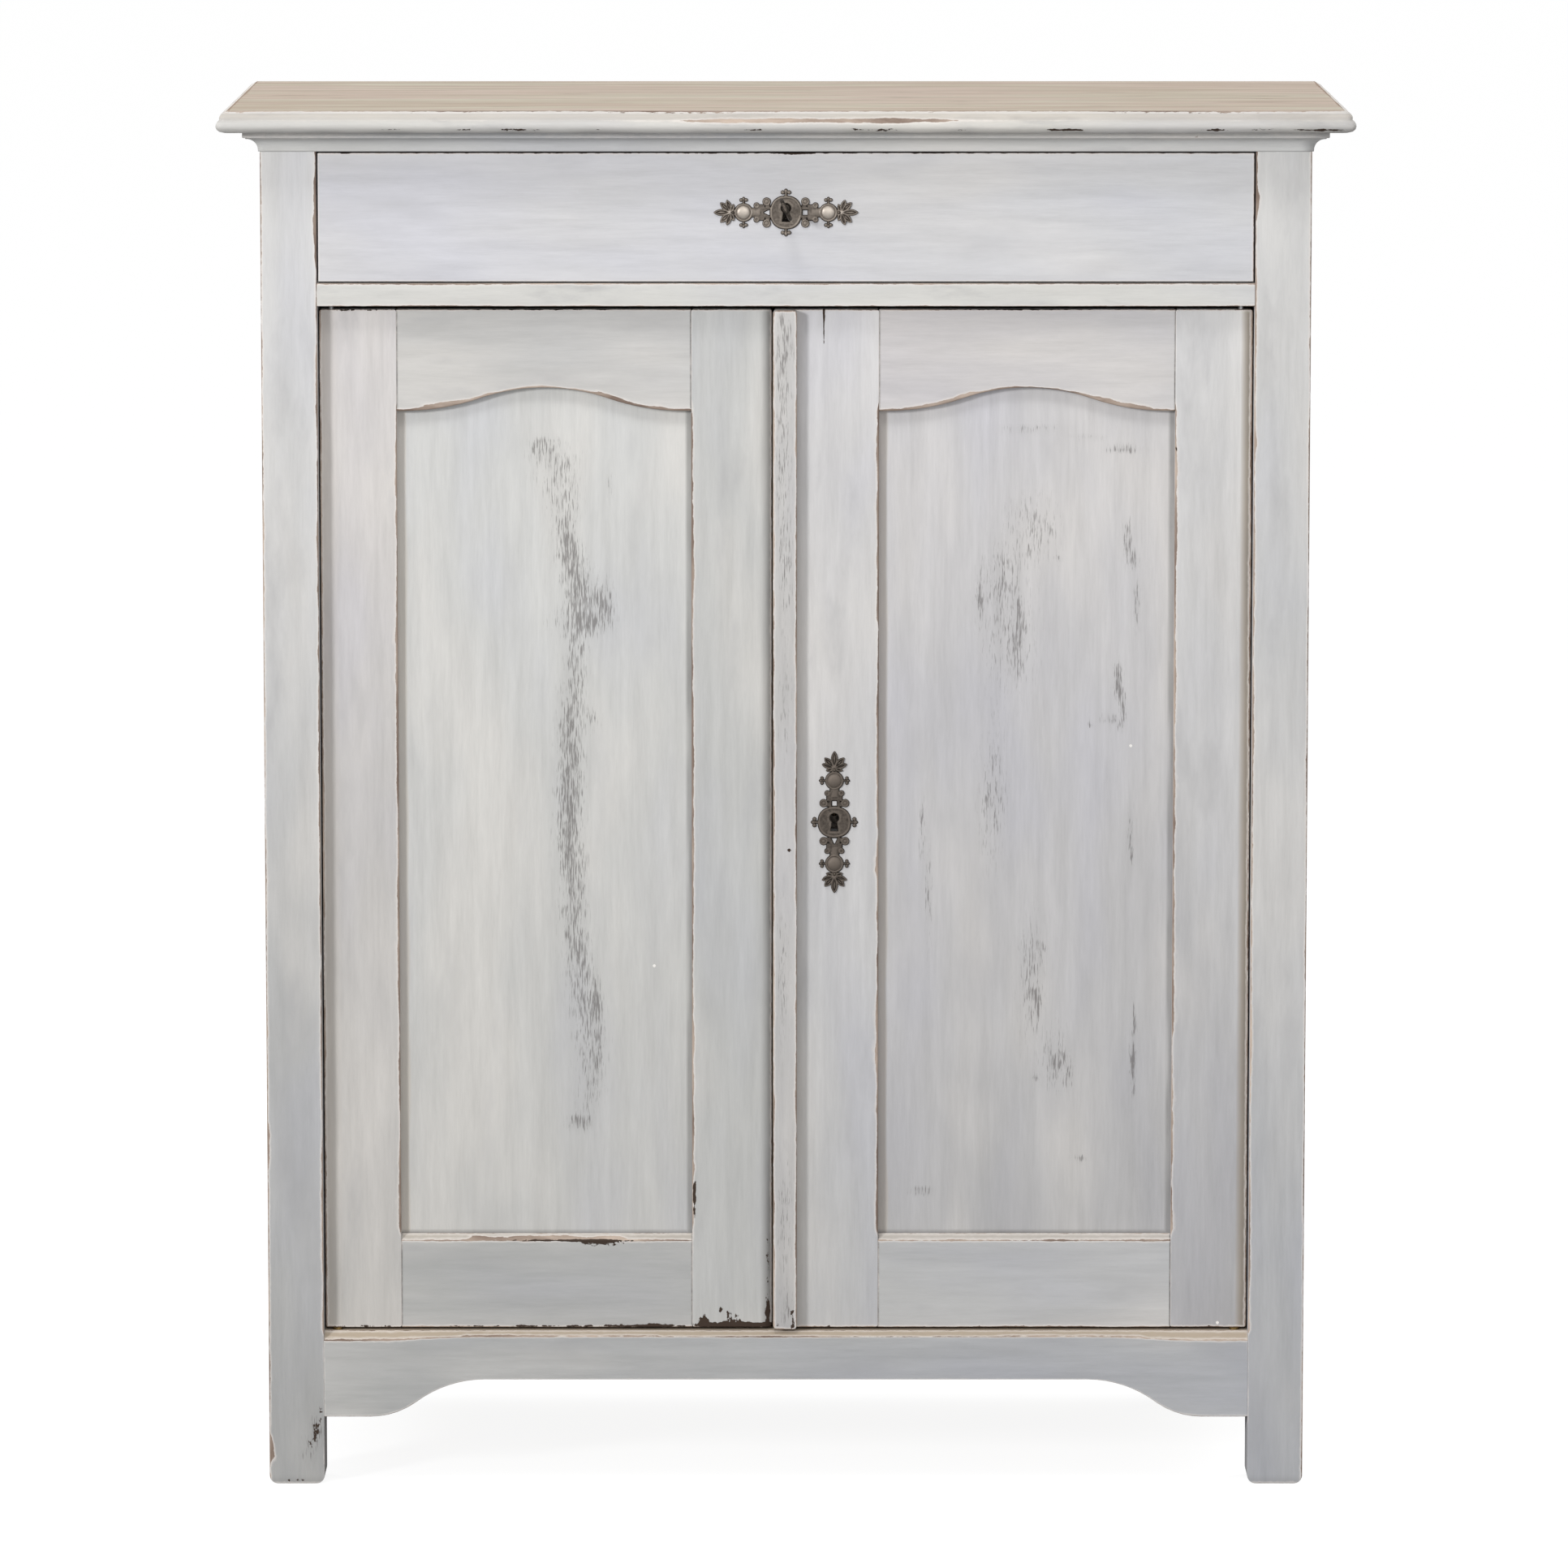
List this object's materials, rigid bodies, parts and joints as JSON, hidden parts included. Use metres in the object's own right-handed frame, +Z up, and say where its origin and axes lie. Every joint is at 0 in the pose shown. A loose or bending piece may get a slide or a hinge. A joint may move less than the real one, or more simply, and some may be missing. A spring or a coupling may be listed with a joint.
{
  "type": "buffet cabinet",
  "caption": "Free-standing painted wooden buffet cabinet with one lockable drawer over two arched-panel doors, on post feet.",
  "frame": {"origin": "middle of the bounding box on the floor, under the cabinet", "axes": "+Z up, -Y the front with the drawer and doors, +X to the right of someone facing the front"},
  "size_m": [1.032, 0.478, 1.272],
  "materials": {
    "painted_wood": "matt chalk paint, brushed thin and worn through at the edges",
    "top_wood": "thin beige wash over bare wood, rubbed along the grain",
    "bare_wood": "planed softwood, unpainted",
    "antique_metal": "grey-brown tarnished casting, bright on the raised parts",
    "dark_iron": "dark oiled iron",
    "pin_steel": "plain turned steel",
    "bush_brass": "dull brass"
  },
  "bodies": {
    "carcass": {"front_left_post": "painted_wood", "front_right_post": "painted_wood", "back_left_post": "painted_wood", "back_right_post": "painted_wood", "front_top_rail": "painted_wood", "front_middle_rail": "painted_wood", "front_apron": "painted_wood", "back_top_rail": "bare_wood", "back_bottom_rail": "bare_wood", "back_boards": "bare_wood", "left_top_rail": "painted_wood", "left_middle_rail": "painted_wood", "left_bottom_rail": "painted_wood", "left_side_panels": "painted_wood", "right_top_rail": "painted_wood", "right_middle_rail": "painted_wood", "right_bottom_rail": "painted_wood", "right_side_panels": "painted_wood", "top_board": "top_wood", "cornice_front": "painted_wood", "cornice_left": "painted_wood", "cornice_right": "painted_wood", "floor_board": "bare_wood", "floor_cleats": "bare_wood", "shelf": "bare_wood", "shelf_cleats": "bare_wood", "drawer_runners": "bare_wood", "drawer_guides": "bare_wood", "drawer_kickers": "bare_wood", "pivot_bushes": "bush_brass"},
    "drawer": {"drawer_front": "painted_wood", "drawer_left_side": "bare_wood", "drawer_right_side": "bare_wood", "drawer_back": "bare_wood", "drawer_bottom": "bare_wood", "drawer_escutcheon": "antique_metal", "drawer_lock_case": "dark_iron"},
    "drawer_bolt": {"drawer_lock_bolt": "dark_iron"},
    "key": {"drawer_key": "dark_iron"},
    "left_door": {"left_door_hinge_stile": "painted_wood", "left_door_meeting_stile": "painted_wood", "left_door_top_rail": "painted_wood", "left_door_bottom_rail": "painted_wood", "left_door_panel": "painted_wood", "left_door_pivots": "pin_steel", "left_door_bolt_keepers": "dark_iron", "left_door_lock_keeper": "dark_iron"},
    "left_top_slide_bolt": {"left_door_top_bolt": "dark_iron"},
    "left_bottom_slide_bolt": {"left_door_bottom_bolt": "dark_iron"},
    "right_door": {"right_door_hinge_stile": "painted_wood", "right_door_meeting_stile": "painted_wood", "right_door_top_rail": "painted_wood", "right_door_bottom_rail": "painted_wood", "right_door_panel": "painted_wood", "right_door_pivots": "pin_steel", "right_door_batten": "painted_wood", "door_escutcheon": "antique_metal", "door_lock_case": "dark_iron"},
    "door_bolt": {"door_lock_bolt": "dark_iron"}
  },
  "joints": [
    {"name": "drawer_slide", "type": "slide", "parent": "carcass", "child": "drawer", "axis": [0, -1, 0], "range_m": [0, 0.3]},
    {"name": "left_door_hinge", "type": "hinge", "parent": "carcass", "child": "left_door", "pos_m": [-0.41497, -0.182, 0.6165], "axis": [0, 0, -1], "range_deg": [0, 105]},
    {"name": "right_door_hinge", "type": "hinge", "parent": "carcass", "child": "right_door", "pos_m": [0.41497, -0.182, 0.6165], "axis": [0, 0, 1], "range_deg": [0, 105]},
    {"name": "key_turn", "type": "hinge", "parent": "drawer", "child": "key", "pos_m": [0, -0.201, 1.182], "axis": [0, -1, 0], "range_deg": [-25, 155]},
    {"name": "drawer_bolt_slide", "type": "slide", "parent": "drawer", "child": "drawer_bolt", "axis": [0, 0, 1], "range_m": [-0.00111, 0.00688]},
    {"name": "door_bolt_slide", "type": "slide", "parent": "right_door", "child": "door_bolt", "axis": [-1, 0, 0], "range_m": [0, 0.009]},
    {"name": "top_slide_bolt_slide", "type": "slide", "parent": "left_door", "child": "left_top_slide_bolt", "axis": [0, 0, 1], "range_m": [0, 0.015]},
    {"name": "bottom_slide_bolt_slide", "type": "slide", "parent": "left_door", "child": "left_bottom_slide_bolt", "axis": [0, 0, -1], "range_m": [0, 0.015]}
  ],
  "couplings": [
    {"joint": "key_turn", "follows": "drawer_bolt_slide", "rad_per_m": 392.7}
  ]
}
